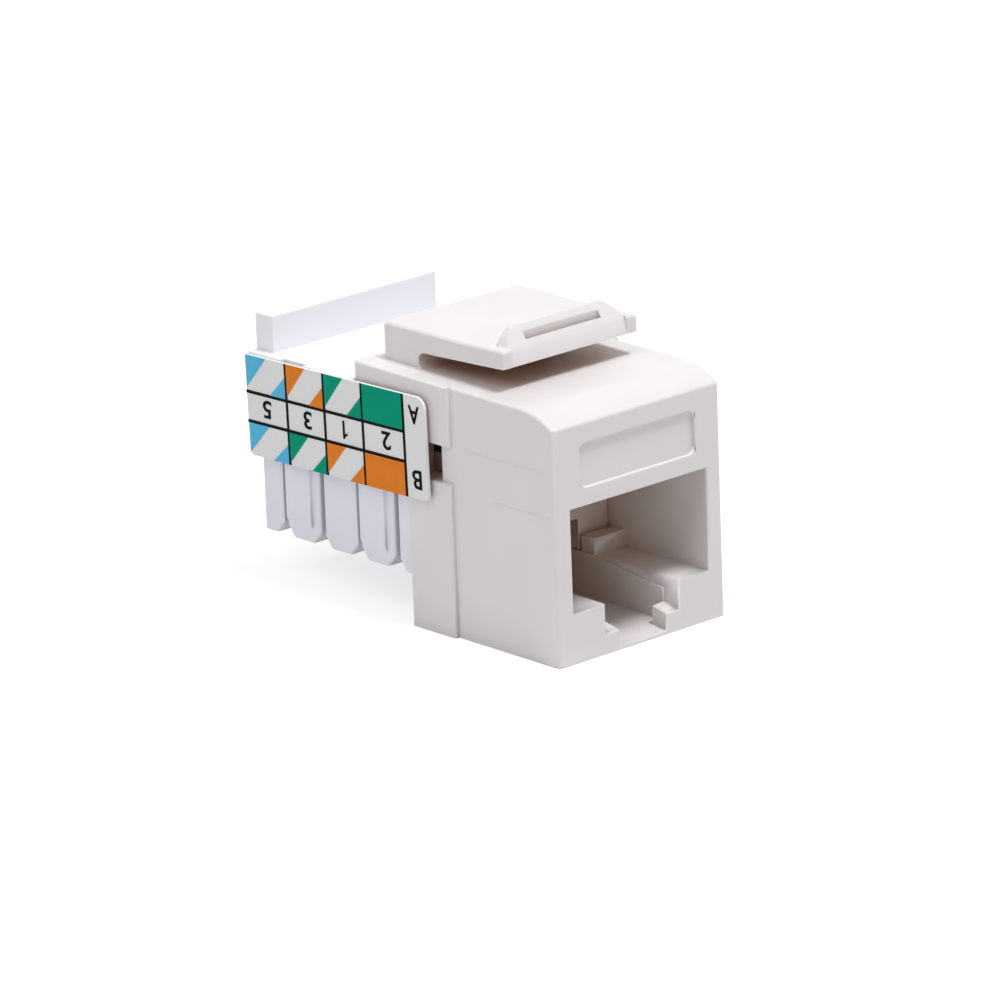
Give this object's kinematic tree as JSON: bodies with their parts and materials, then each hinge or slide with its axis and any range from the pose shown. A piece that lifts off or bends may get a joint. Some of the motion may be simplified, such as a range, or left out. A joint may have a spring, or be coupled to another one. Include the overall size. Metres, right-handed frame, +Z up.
{
  "type": "keystone jack",
  "caption": "Snap-in network jack for a panel opening, with a plug port and gold contacts in front and two rows of wire slots with colour labels at the rear.",
  "frame": {"origin": "middle of the front face's lower edge, in the plane of the front face", "axes": "+X to the right seen from the plug side, +Y from the front face to the rear, +Z up towards the flexible latch"},
  "size_m": [0.0164, 0.0292, 0.0209],
  "materials": {
    "jack_plastic": "satin moulded plastic, warm light grey",
    "block_plastic": "satin moulded plastic, cool white",
    "carrier_plastic": "satin moulded plastic, grey",
    "board_laminate": "green lacquered laminate",
    "contact_gold": "polished gold plate",
    "blade_tin": "matt tin plate",
    "label_card": "satin film, pale grey",
    "print_blue": "printed ink",
    "print_orange": "printed ink",
    "print_green": "printed ink",
    "print_brown": "printed ink",
    "print_black": "printed ink"
  },
  "bodies": {
    "root": {"front_housing": "jack_plastic", "contact_carrier": "carrier_plastic", "circuit_board": "board_laminate", "idc_block": "block_plastic", "rear_cover": "block_plastic", "label_left": "label_card", "label_right": "label_card", "contact_leads": "contact_gold", "idc_blade_1": "blade_tin", "idc_blade_2": "blade_tin", "idc_blade_3": "blade_tin", "idc_blade_4": "blade_tin", "idc_blade_5": "blade_tin", "idc_blade_6": "blade_tin", "idc_blade_7": "blade_tin", "idc_blade_8": "blade_tin", "print_blue": "print_blue", "print_orange": "print_orange", "print_green": "print_green", "print_brown": "print_brown", "print_black": "print_black"},
    "panel_latch": {"panel_latch": "jack_plastic"},
    "contact_finger_1": {"contact_finger_1": "contact_gold"},
    "contact_finger_2": {"contact_finger_2": "contact_gold"},
    "contact_finger_3": {"contact_finger_3": "contact_gold"},
    "contact_finger_4": {"contact_finger_4": "contact_gold"},
    "contact_finger_5": {"contact_finger_5": "contact_gold"},
    "contact_finger_6": {"contact_finger_6": "contact_gold"},
    "contact_finger_7": {"contact_finger_7": "contact_gold"},
    "contact_finger_8": {"contact_finger_8": "contact_gold"}
  },
  "joints": [
    {"name": "latch_flex", "type": "hinge", "parent": "root", "child": "panel_latch", "pos_m": [0, 0.0137, 0.0182], "axis": [1, 0, 0], "range_deg": [0, 10], "stiffness_Nm_per_rad": 0.65},
    {"name": "contact_1_flex", "type": "hinge", "parent": "root", "child": "contact_finger_1", "pos_m": [-0.00356, 0.00295, 0.0101], "axis": [1, 0, 0], "range_deg": [0, 18], "stiffness_Nm_per_rad": 0.02},
    {"name": "contact_2_flex", "type": "hinge", "parent": "root", "child": "contact_finger_2", "pos_m": [-0.00254, 0.00295, 0.0101], "axis": [1, 0, 0], "range_deg": [0, 18], "stiffness_Nm_per_rad": 0.02},
    {"name": "contact_3_flex", "type": "hinge", "parent": "root", "child": "contact_finger_3", "pos_m": [-0.00152, 0.00295, 0.0101], "axis": [1, 0, 0], "range_deg": [0, 18], "stiffness_Nm_per_rad": 0.02},
    {"name": "contact_4_flex", "type": "hinge", "parent": "root", "child": "contact_finger_4", "pos_m": [-0.00051, 0.00295, 0.0101], "axis": [1, 0, 0], "range_deg": [0, 18], "stiffness_Nm_per_rad": 0.02},
    {"name": "contact_5_flex", "type": "hinge", "parent": "root", "child": "contact_finger_5", "pos_m": [0.00051, 0.00295, 0.0101], "axis": [1, 0, 0], "range_deg": [0, 18], "stiffness_Nm_per_rad": 0.02},
    {"name": "contact_6_flex", "type": "hinge", "parent": "root", "child": "contact_finger_6", "pos_m": [0.00152, 0.00295, 0.0101], "axis": [1, 0, 0], "range_deg": [0, 18], "stiffness_Nm_per_rad": 0.02},
    {"name": "contact_7_flex", "type": "hinge", "parent": "root", "child": "contact_finger_7", "pos_m": [0.00254, 0.00295, 0.0101], "axis": [1, 0, 0], "range_deg": [0, 18], "stiffness_Nm_per_rad": 0.02},
    {"name": "contact_8_flex", "type": "hinge", "parent": "root", "child": "contact_finger_8", "pos_m": [0.00356, 0.00295, 0.0101], "axis": [1, 0, 0], "range_deg": [0, 18], "stiffness_Nm_per_rad": 0.02}
  ]
}
